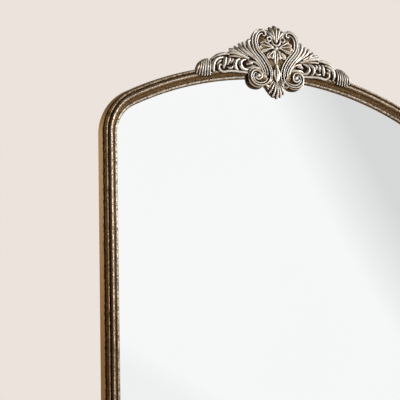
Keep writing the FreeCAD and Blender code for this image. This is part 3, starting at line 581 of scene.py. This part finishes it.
def draw_back(carving, back):
    """Carries the faces that look backwards to a level."""
    for face in carving.data.polygons:
        face.select = face.normal.y > BACKWARD_FACE
    bpy.ops.object.mode_set(mode="EDIT")
    bpy.ops.mesh.select_mode(type="FACE")
    bpy.ops.mesh.extrude_region_move()
    bpy.ops.transform.resize(value=(1, 0, 1), center_override=to_metres(0, 0, back))
    bpy.ops.object.mode_set(mode="OBJECT")


def ground(name, outline, level):
    """A flat ground plate with a smooth outline, from the casting's back to a level."""
    bpy.ops.object.select_all(action="DESELECT")
    bpy.ops.curve.primitive_bezier_circle_add()
    carving = bpy.context.object
    carving.name = name
    curve = carving.data
    curve.splines.clear()
    curve.dimensions = "2D"
    curve.fill_mode = "BOTH"
    curve.extrude = (level - CASTING_BACK) / 2 * MM
    spline = curve.splines.new("BEZIER")
    spline.bezier_points.add(len(outline) - 1)
    spline.use_cyclic_u = True
    for knot, (across, up) in zip(spline.bezier_points, outline):
        knot.co = (across * MM, up * MM, 0)
        knot.handle_left_type = knot.handle_right_type = "AUTO"
    carving.rotation_euler = (math.pi / 2, 0, 0)
    carving.location = to_metres(0, 0, (level + CASTING_BACK) / 2)
    bpy.ops.object.convert(target="MESH")
    bpy.ops.object.transform_apply(location=True, rotation=True, scale=True)
    return carving


def boss(name, centre, radius, level):
    """A round knob, its top at a level."""
    bpy.ops.object.select_all(action="DESELECT")
    bpy.ops.mesh.primitive_uv_sphere_add(
        segments=24, ring_count=16, radius=radius * MM, location=to_metres(*centre, level - radius)
    )
    carving = bpy.context.object
    carving.name = name
    bpy.ops.object.transform_apply(location=True, rotation=True, scale=True)
    draw_back(carving, CASTING_BACK)
    return carving


def joined(carvings):
    """Several carvings as one."""
    bpy.ops.object.select_all(action="DESELECT")
    for carving in carvings:
        carving.select_set(True)
    bpy.context.view_layer.objects.active = carvings[0]
    bpy.ops.object.join()
    return bpy.context.object


def modified(piece, kind, **settings):
    """Adds a modifier to a piece and applies it."""
    bpy.ops.object.select_all(action="DESELECT")
    piece.select_set(True)
    bpy.context.view_layer.objects.active = piece
    made = piece.modifiers.new(kind.title(), kind)
    for key, value in settings.items():
        setattr(made, key, value)
    bpy.ops.object.modifier_apply(modifier=made.name)


def cast(piece, kept):
    """Melts a carving into one skin, as a casting is, and thins its flat parts."""
    modified(piece, "REMESH", mode="VOXEL", voxel_size=VOXEL)
    modified(piece, "SMOOTH", factor=SMOOTHING, iterations=1)
    places, relief = relief_of(piece.data)
    modified(piece, "DECIMATE", ratio=kept)
    bpy.ops.object.shade_smooth()
    note_relief(piece.data, places, relief)


def relief_of(mesh):
    """The points of an even skin, and how far each of them stands out of its surroundings."""
    count = len(mesh.vertices)
    places = np.empty(count * 3, np.float32)
    mesh.vertices.foreach_get("co", places)
    places = places.reshape(-1, 3)
    edges = np.empty(len(mesh.edges) * 2, np.int32)
    mesh.edges.foreach_get("vertices", edges)
    first, second = edges.reshape(-1, 2).T
    level = -places[:, 1].astype(float)
    near = averaged(level, first, second, FINE_REACH)
    far = averaged(near, first, second, DEEP_REACH - FINE_REACH)
    fine = level - near
    deep = np.clip(level - far, LOWEST_DEEP, HIGHEST_DEEP)
    return places, np.clip(FLAT_RELIEF + fine / FINE_RELIEF + deep / DEEP_RELIEF, 0, 1)


def averaged(values, first, second, rounds):
    """Values at the points of a skin, each replaced by the mean of its neighbours a number of times."""
    count = len(values)
    neighbours = np.bincount(first, minlength=count) + np.bincount(second, minlength=count)
    for _ in range(rounds):
        total = np.bincount(first, values[second], count) + np.bincount(second, values[first], count)
        values = total / neighbours
    return values


def note_relief(mesh, places, relief):
    """Writes the relief on a thinned skin, and how far each of its points faces sideways."""
    nearest = KDTree(len(places))
    for index, place in enumerate(places):
        nearest.insert(place, index)
    nearest.balance()
    carried = [relief[nearest.find(vertex.co)[1]] for vertex in mesh.vertices]
    normals = np.empty(len(mesh.vertices) * 3, np.float32)
    mesh.vertex_normals.foreach_get("vector", normals)
    wall = np.clip((WALL_FROM + normals.reshape(-1, 3)[:, 1]) / WALL_BLEND, 0, 1)
    for name, values in (("relief", carried), ("wall", wall)):
        attribute = mesh.attributes.new(name, "FLOAT", "POINT")
        attribute.data.foreach_set("value", np.array(values, np.float32))


# Crest carving, right-hand half. The band runs from the curl at the top to the eye of the volute.

S_BAND = [
    (31, 88.5), (28, 86), (24.5, 88.5), (25, 94), (30, 97), (36, 96), (42, 91.5), (46.5, 84), (48.5, 75),
    (48, 65), (45, 56), (39, 48), (31.5, 39.5), (25, 30.5), (19.5, 21), (16, 11), (15, 1), (16.5, -8),
    (21, -15), (28, -20), (37, -22.5), (46.5, -22), (54.5, -17.5), (59.5, -10), (60, -1.5), (56.5, 5.5),
    (50.5, 8.8), (44, 8.5), (39, 5), (36.5, -0.5), (37.5, -6.5), (42, -10), (47.5, -9.5), (51, -5.5),
]
NECK = S_BAND[16:10:-1]
FRONDS = [
    [(53, 49), (58.5, 57), (62, 66), (61, 74), (56.5, 74.5), (56, 70)],
    [(57, 45), (65, 53), (71, 62), (73, 71)],
    [(46, 32), (56, 40), (66, 47.5), (76, 56), (82, 67.5)],
    [(64, 40), (75, 47), (85, 53), (92, 60.5)],
    [(78, 45), (88, 49.5), (97, 52), (104, 53.5)],
]


def scroll_band():
    """The S-shaped band: a tall middle ridge between two rims, from the curl to the volute."""
    inner_rim = beside(S_BAND[4:19], (5.4, 5.4, 4.8, 4.6))
    outer_rim = beside(S_BAND[3:17], (-5.2, -5.4, -5.0))
    volute_rim = beside(S_BAND[17:27], (-5.0, -5.4, -5.2))
    return [
        (S_BAND, (1.4, 1.9, 1.9, 1.7, 1.5, 1.7, 2.1, 2.0, 1.9), (53, 55, 55, 54, 54, 55, 56, 56, 56)),
        (inner_rim, (0.8, 1.5, 1.5, 1.3, 1.2, 0.8), (51, 53, 53, 52, 52, 50)),
        (outer_rim, (0.8, 1.5, 1.6, 1.4, 1.0), (48, 51, 52, 52, 50)),
        (volute_rim, (0.8, 1.4, 1.7, 1.6, 0.9), (50, 53, 54, 54, 54)),
    ]


def side_fronds():
    """Ribs that leave the neck together and part into rounded tips, and the leaves under them."""
    strokes = []
    for index, frond in enumerate(FRONDS):
        trunk = beside(NECK[index:], TRUNK_OFFSET + TRUNK_PITCH * index) if index < TRUNKS else []
        levels = (50, 51 - index, 51 - index, 50 - index, 46 - index)
        strokes.append((trunk + frond, (0.9, 1.5, 2.3, 3.2, 4.0, 3.0), levels))
    over_volute = [(38, 10), (44, 14.5), (52, 16.5), (60, 16), (66, 13.5)]
    under_fronds = [(33, 8), (35.5, 16), (42, 24), (51, 29), (62, 31)]
    strokes.append((over_volute, (1.4, 2.6, 2.8, 1.4), (48, 50, 49, 45)))
    strokes.append((under_fronds, (1.0, 1.8, 2.4, 2.0), (48, 49, 49, 45)))
    return strokes


def palmette():
    """Leaves of the fan at the top, the rim of its cup and the small rings beside it."""
    cup_rim = [(10, 82), (9.4, 74), (5.8, 68), (0, 66)]
    ring = [(11, 81), (12.5, 77), (16.5, 75.5), (20, 78.5), (19.5, 83), (16, 84)]
    return [
        ([(2, 74), (5.6, 89), (8.8, 101), (10.6, 108)], (1.0, 2.0, 3.5, 3.0), (53, 55, 53, 42)),
        ([(4.5, 79), (10.5, 89), (16, 96), (19.5, 101.5)], (1.0, 2.0, 3.5, 3.0), (53, 54.5, 52, 42)),
        ([(8.5, 81), (15, 86.5), (20.5, 90)], (1.0, 2.2, 2.4), (52, 53, 49)),
        (cup_rim, (1.4, 2.0, 2.0), (52, 55, 56)),
        (ring, (1.3, 1.8, 1.4), (52, 54, 53)),
    ]


def heart_plates():
    """The flower's scalloped side petal, its lower petal and the lance leaf under the stem."""
    side = [
        (5, 62), (13, 70), (22, 77.5), (28.5, 78), (31, 74), (36.5, 71), (36.5, 65.5), (38.5, 60.5),
        (35, 56), (33.5, 50.5), (27, 50.5), (14, 57.5),
    ]
    lower = [
        (3, 57), (10, 53), (17.5, 50), (22.5, 44), (20.5, 38), (15.5, 37.5), (13, 40), (9.5, 36.5),
        (5.8, 40), (5, 48),
    ]
    lance = [(0, 25), (3.6, 17.5), (7.6, 9), (8, 2.5), (5.5, -5), (0, -12), (0, 5)]
    return [
        ground("crest_side_petal", side, PETAL_LEVEL),
        ground("crest_lower_petal", lower, PETAL_LEVEL),
        ground("crest_lance_leaf", lance, LANCE_LEVEL),
    ]


def petal_ribs():
    """Ribs that fan out over the petals."""
    side_ribs = (((7, 63), (27.5, 75)), ((8, 62), (34.5, 67)), ((7, 61), (33, 54)))
    lower_ribs = (((4.5, 55), (9, 40)), ((6, 55), (18.5, 41.5)))
    ribs = []
    for root, tip in side_ribs + lower_ribs:
        middle = ((root[0] + tip[0]) / 2, (root[1] + tip[1]) / 2)
        ribs.append(([root, middle, tip], (1.0, 1.6, 2.0), (53, 54, 53.5)))
    return ribs


def shell():
    """Ribs of the hanging shell, right of its middle rib, and the small curl beside it."""
    curl = [(11, -8), (15.5, -11.5), (21.5, -14), (25, -18.5), (22.5, -23.5), (18.5, -21)]
    return [
        ([(2.4, -14), (4.4, -25), (7.6, -38), (9, -44)], (0.9, 1.5, 2.6, 2.0), (51, 53, 52, 47)),
        ([(5, -13), (9, -22), (14.4, -32), (17, -37)], (0.9, 1.5, 2.6, 2.0), (50, 52, 51, 46)),
        ([(8, -11), (13.5, -18), (19.5, -27)], (0.9, 1.5, 2.4), (49, 51, 46)),
        (curl, (0.8, 2.2, 2.6, 1.8), (50, 53, 53, 51)),
    ]


def stem():
    """The right-hand flute of the flower's stem."""
    return [([(1.6, 57), (2.6, 46), (2.8, 36), (1.0, 25)], (1.6, 2.4, 2.6, 1.0), (51, 52, 51.5, 49))]


def centre_line():
    """What stands on the centreline: the palmette's top leaf, the lance leaf's rib and the shell's."""
    return [
        ([(0, 72), (0, 91), (0, 104.5), (0, 112)], (1.0, 2.0, 3.6, 3.0), (54, 56, 54, 42)),
        ([(0, 23), (0, 8), (0, -9)], (0.8, 1.5, 0.8), (53, 55, 53)),
        ([(0, -13), (0, -27), (0, -41), (0, -47.5)], (0.9, 1.6, 2.8, 2.0), (52, 54, 53, 48)),
    ]


def crest_cartouche():
    """The middle casting, carved on one side and mirrored."""
    heart = [
        (0, 82), (14, 86), (24, 94), (33, 98), (46, 90), (53, 76), (50, 60), (39, 45), (26, 30),
        (17, 12), (17, -8), (22, -22), (0, -16), (0, 20),
    ]
    palmette_plate = [(0, 78), (14, 82), (19, 92), (14, 100.5), (7, 106), (0, 108), (0, 92)]
    shell_plate = [(0, 4), (13, -2), (20, -17), (19, -25), (13, -33), (7.5, -39), (0, -42), (0, -20)]
    fronds = [
        (16, -4), (22, 16), (36, 36), (54, 52), (64, 62), (78, 61), (95, 51), (82, 46), (62, 34),
        (40, 24), (36, 6),
    ]
    volute = [(44, 18), (60, 11), (65, -5), (59.5, -20.5), (44, -27), (28, -22), (22, -6), (30, 9)]
    strokes = scroll_band() + side_fronds() + palmette() + petal_ribs() + stem() + shell()
    half = [
        ridges("crest_ridges", strokes, UNDERCUT),
        ground("crest_heart", heart, HEART_GROUND),
        ground("crest_palmette", palmette_plate, PALMETTE_GROUND),
        ground("crest_shell", shell_plate, SHELL_GROUND),
        ground("crest_fronds", fronds, FROND_GROUND),
        ground("crest_volute", volute, VOLUTE_GROUND),
        boss("crest_volute_eye", *VOLUTE_EYE),
    ] + heart_plates()
    carving = joined(half)
    modified(carving, "MIRROR")
    middle = [ridges("crest_middle", centre_line(), UNDERCUT), boss("crest_flower", *FLOWER_EYE)]
    carving = joined([carving] + middle)
    carving.name = carving.data.name = "carved_cartouche"
    cast(carving, CARTOUCHE_KEPT)
    return carving


def wing_leaves():
    """Leaves of the right-hand wing, from the cartouche outwards."""
    top_leaf = [
        ([(60, 36), (74, 41.5), (88, 45.5), (100, 46.5), (108, 45)],
         (2.0, 3.2, 3.8, 3.4, 1.2), (45, 46.5, 47, 46, 42)),
        ([(104, 42.5), (116, 43), (130, 38.5), (143, 31)], (1.4, 2.8, 3.0, 1.4), (43, 43.5, 42, 39)),
        ([(72, 37), (83, 38.5), (94, 39), (105, 38.5)], (0.9, 1.7, 1.9, 0.9), (42, 44, 44, 42)),
    ]
    inner_scroll = [
        ([(80, 34), (88, 30), (91.5, 23), (90, 14.5), (84, 9)],
         (1.2, 2.8, 3.2, 2.8, 1.4), (44, 46, 46.5, 45, 42)),
        ([(66, 33.5), (74, 31.5), (79, 26), (79, 19), (75, 14), (68.5, 12), (62, 12.5)],
         (1.2, 2.8, 3.4, 3.0, 1.8), (44, 46, 47, 45.5, 43)),
        ([(52, 27), (60, 26), (66, 23)], (2.4, 3.2, 1.6), (46, 47, 43)),
    ]
    stem = [
        ([(62, 6), (80, 6.5), (95, 7), (108, 6), (118, 4), (125.5, 6.5), (128.5, 12), (127, 17.5),
          (122.5, 18.5)],
         (2.2, 2.4, 2.4, 2.4, 1.8), (43, 43.5, 43, 44, 44)),
    ]
    lobed_leaf = [
        ([(112, 35), (114, 27), (116, 18), (117, 11.5)], (2.0, 3.4, 3.0, 1.4), (45, 46, 44.5, 41)),
        ([(103.5, 34.5), (105.5, 27), (108, 19.5)], (2.0, 3.0, 1.2), (45, 46, 41)),
        ([(96.5, 33.5), (98.5, 28.5), (100.5, 23.5)], (1.6, 2.4, 1.0), (45, 45, 41)),
        ([(109, 14.5), (104.5, 13), (99, 14), (96, 18)], (1.0, 1.9, 1.9, 0.9), (42, 43.5, 43.5, 42)),
    ]
    outer_scroll = [
        ([(118, 34.5), (128, 32), (136, 26.5), (140, 18.5), (140.5, 9.5), (138.5, 2)],
         (1.4, 2.8, 3.4, 3.0, 1.4), (44, 46, 46, 44.5, 41)),
        ([(123, 27.5), (129, 23.5), (131.5, 17)], (1.2, 2.2, 1.0), (44, 44.5, 41)),
        ([(150, 29), (161, 26), (170, 19), (175, 9), (177, -1)], (1.6, 2.2, 2.2, 1.6), (40, 40, 40, 39)),
    ]
    return top_leaf + inner_scroll + stem + lobed_leaf + outer_scroll


def wing_end_ribs():
    """Ribs of the fan that ends the wing."""
    ribs = []
    for index in range(WING_END_RIBS):
        share = index / (WING_END_RIBS - 1)
        top = (147 + 24 * share, 26.5 + 4 * share - 14 * share ** 2)
        foot = (148 + 30 * share, -6 - 12 * share + 14 * share ** 2)
        middle = ((top[0] + foot[0]) / 2 + 1.5, (top[1] + foot[1]) / 2)
        ribs.append(([top, middle, foot], (1.5, 1.8, 1.4), (43, 46, 42 - share)))
    return ribs


def crest_wing():
    """The right-hand wing, a spray of leaves that lies on the moulding."""
    outline = [
        (53, 12), (56, 36), (74, 43), (100, 45), (130, 37), (148, 27), (160, 24), (171, 14), (174, 2),
        (174, -6), (150, -2), (120, 4), (90, 7), (68, 9),
    ]
    strokes = []
    for points, widths, levels in wing_leaves():
        strokes.append((points, np.multiply(widths, WING_FULLNESS), levels))
    strokes += wing_end_ribs()
    carving = joined([
        ridges("wing_ridges", strokes, CASTING_BACK),
        ground("wing_ground", outline, WING_GROUND),
    ])
    carving.name = carving.data.name = "carved_right_wing"
    cast(carving, WING_KEPT)
    return carving


def mirrored_copy(piece, name):
    """The same piece for the other side, with a mesh of its own."""
    bpy.ops.object.select_all(action="DESELECT")
    piece.select_set(True)
    bpy.context.view_layer.objects.active = piece
    bpy.ops.object.duplicate()
    copy = bpy.context.object
    copy.name = copy.data.name = name
    copy.scale.x = -1
    bpy.ops.object.transform_apply(location=True, rotation=True, scale=True)
    bpy.ops.object.mode_set(mode="EDIT")
    bpy.ops.mesh.select_all(action="SELECT")
    bpy.ops.mesh.normals_make_consistent(inside=False)
    bpy.ops.object.mode_set(mode="OBJECT")
    return copy


def add_crest():
    """Carved castings in place of the plain ones."""
    right_wing = crest_wing()
    left_wing = mirrored_copy(right_wing, "carved_left_wing")
    gilding = gilt_carving()
    castings = (
        (crest_cartouche(), "crest_cartouche"),
        (left_wing, "crest_left_wing"),
        (right_wing, "crest_right_wing"),
    )
    for piece, cad_node in castings:
        piece.data.materials.clear()
        piece.data.materials.append(gilding)
        piece.visible_glossy = False
        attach(piece, "mirror")
        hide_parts(cad_node)


# Finishes on the solids

def moulding_finishes():
    """The gilding for each length of moulding, fitted to its own bend."""
    head = gilt_moulding("gilt_head", (0, 0, CROWN_UP), (1, 0, 1), CROWN_RADIUS)
    shoulder = gilt_moulding("gilt_shoulder", (SHOULDER_ACROSS, 0, SHOULDER_UP), (1, 0, 1), SHOULDER_RADIUS)
    stile = gilt_moulding("gilt_stile", (0, 0, 0), (1, 0, 0), HALF_WIDTH)
    corner = gilt_moulding("gilt_corner", (CORNER_ACROSS, 0, -CORNER_UP), (1, 0, 1), CORNER_RADIUS)
    foot = gilt_moulding("gilt_foot", (0, 0, 0), (0, 0, 1), -FRAME_FOOT)
    return {
        "head_rail": head,
        "left_shoulder": shoulder,
        "right_shoulder": shoulder,
        "left_stile": stile,
        "right_stile": stile,
        "left_lower_corner": corner,
        "right_lower_corner": corner,
        "bottom_rail": foot,
    }


def dress_solids():
    """A finish on every node that stays as it is."""
    by_slot = {
        "silvered_glass": silvered_glass(),
        "stained_wood": wood("stained_wood", PALE_STAIN, DARK_STAIN, (180, 180, 12)),
        "beech": wood("beech", PALE_BEECH, DARK_BEECH, (300, 300, 40)),
        "fibreboard": fibreboard(),
        "white_foam": soft_matter("white_foam", PALE_FOAM, DARK_FOAM, 900.0, 0.2 * MM),
        "black_rubber": soft_matter("black_rubber", PALE_RUBBER, DARK_RUBBER, 1500.0, 0.05 * MM),
        "brass_plate": plated_metal("brass_plate", BRASS, DULL_BRASS, 0.30),
        "zinc_steel": plated_metal("zinc_steel", ZINC, DULL_ZINC, 0.32),
    }
    by_node = moulding_finishes()
    for entry in frame["record"]["subparts"]:
        name = entry["node"]
        material = by_node.get(name) or by_slot.get(entry["material_slot"])
        if material:
            frame["nodes"][name].data.materials.clear()
            frame["nodes"][name].data.materials.append(material)


# Stage

def add_floor():
    """A plain pale floor under the object, with a faint mottling."""
    bpy.ops.object.select_all(action="DESELECT")
    bpy.ops.mesh.primitive_plane_add(size=FLOOR_SIZE, location=(0, 0, FRAME_FOOT - FLOOR_DROP))
    floor = bpy.context.object
    floor.name = "floor"
    material, tree, shader = finish("pale_floor")
    tree.links.new(mix(tree, noise(tree, FLOOR_SCALE), DARK_FLOOR, PALE_FLOOR), shader.inputs["Base Color"])
    shader.inputs["Roughness"].default_value = FLOOR_ROUGHNESS
    floor.data.materials.append(material)


def add_lamp(name, place, size, power):
    """A soft square lamp that faces the frame at the height of its hooks."""
    lamp = bpy.data.lights.new(name, "AREA")
    lamp.size = size
    lamp.energy = power
    holder = bpy.data.objects.new(name, lamp)
    bpy.context.scene.collection.objects.link(holder)
    holder.location = place
    holder.rotation_euler = (-Vector(place)).to_track_quat("-Z", "Y").to_euler()
    holder.visible_glossy = False


def room_light(tree):
    """How bright the room is in a direction: pale ahead, behind and above, dim at the sides.
    The window is the brightest spot in it."""
    direction = node(tree, "ShaderNodeTexCoord").outputs["Generated"]

    def along(axis):
        return vector_math(tree, "DOT_PRODUCT", direction, axis, "Value")

    shade = spread(tree, along(SLANT_AXIS), *SLANT_RANGE, *SLANT_LIGHT)
    shade = math_of(tree, "MULTIPLY", shade, spread(tree, along(LOW_AXIS), *LOW_RANGE, *LOW_LIGHT))
    front = spread(tree, along(FRONT_AXIS), *FRONT_RANGE, DIM_ROOM, 1.0)
    parts = node(tree, "ShaderNodeSeparateXYZ", {0: direction}).outputs
    behind = spread(tree, parts["Y"], *BEHIND_RANGE, DIM_ROOM, PALE_ROOM)
    ceiling = spread(tree, parts["Z"], *CEILING_RANGE, 0.0, PALE_ROOM)
    lit = math_of(tree, "MAXIMUM", math_of(tree, "MAXIMUM", front, behind), ceiling)
    shade = math_of(tree, "MULTIPLY", shade, lit)
    window = spread(tree, along(WINDOW), *WINDOW_RANGE, 0.0, WINDOW_LIGHT)
    return math_of(tree, "MAXIMUM", shade, window)


def add_world():
    """The room that lights the object and shows in it, and the pale wall that the camera sees."""
    world = bpy.data.worlds.new("room")
    bpy.context.scene.world = world
    world.use_nodes = True
    tree = world.node_tree
    tree.nodes.clear()
    shade = room_light(tree)
    room = node(tree, "ShaderNodeCombineColor", {0: shade, 1: shade, 2: shade}).outputs["Color"]
    shown = node(tree, "ShaderNodeBackground", {"Color": room, "Strength": 1.0})
    wall = node(tree, "ShaderNodeBackground", {"Color": WALL_COLOUR, "Strength": 1.0})
    by_camera = node(tree, "ShaderNodeLightPath").outputs["Is Camera Ray"]
    seen = node(tree, "ShaderNodeMixShader", {0: by_camera, 1: shown.outputs[0], 2: wall.outputs[0]})
    node(tree, "ShaderNodeOutputWorld", {"Surface": seen.outputs[0]})


def add_camera():
    """The photograph's view: low, from the left, rolled a little."""
    data = bpy.data.cameras.new("photo_view")
    data.sensor_width = SENSOR_WIDTH
    data.lens = CAMERA_LENS
    data.clip_end = CAMERA_REACH
    camera = bpy.data.objects.new("photo_view", data)
    bpy.context.scene.collection.objects.link(camera)
    aim = Euler((math.pi / 2 + CAMERA_PITCH, 0, -CAMERA_YAW)).to_matrix()
    turn = aim @ Matrix.Rotation(CAMERA_ROLL, 3, "Z")
    camera.matrix_world = Matrix.Translation(CAMERA_PLACE) @ turn.to_4x4()
    bpy.context.scene.camera = camera


add_camera()
dress_solids()
add_crest()
add_floor()
for lamp_settings in LAMPS:
    add_lamp(*lamp_settings)
add_world()
bpy.context.scene.view_settings.view_transform = "Standard"
